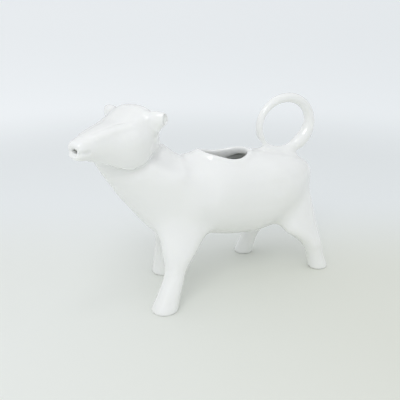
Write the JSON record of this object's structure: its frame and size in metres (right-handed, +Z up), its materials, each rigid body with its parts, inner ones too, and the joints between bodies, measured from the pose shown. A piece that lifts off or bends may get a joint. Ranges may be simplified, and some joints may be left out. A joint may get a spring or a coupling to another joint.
{
  "type": "cow creamer",
  "caption": "Glazed porcelain milk jug shaped as a walking cow: filled through the back, poured from the mouth, held by the looped tail.",
  "frame": {"origin": "on the table, under the middle of the creamer's length and width", "axes": "-X where the cow faces and pours, -Y its left side, +Z up"},
  "size_m": [0.1614, 0.058, 0.1094],
  "materials": {
    "glaze": "clear gloss glaze over white porcelain"
  },
  "bodies": {
    "root": {"body_shell": "glaze", "neck": "glaze", "head": "glaze", "left_ear": "glaze", "right_ear": "glaze", "tail_handle": "glaze", "left_front_leg": "glaze", "right_front_leg": "glaze", "left_rear_leg": "glaze", "right_rear_leg": "glaze"}
  },
  "joints": []
}
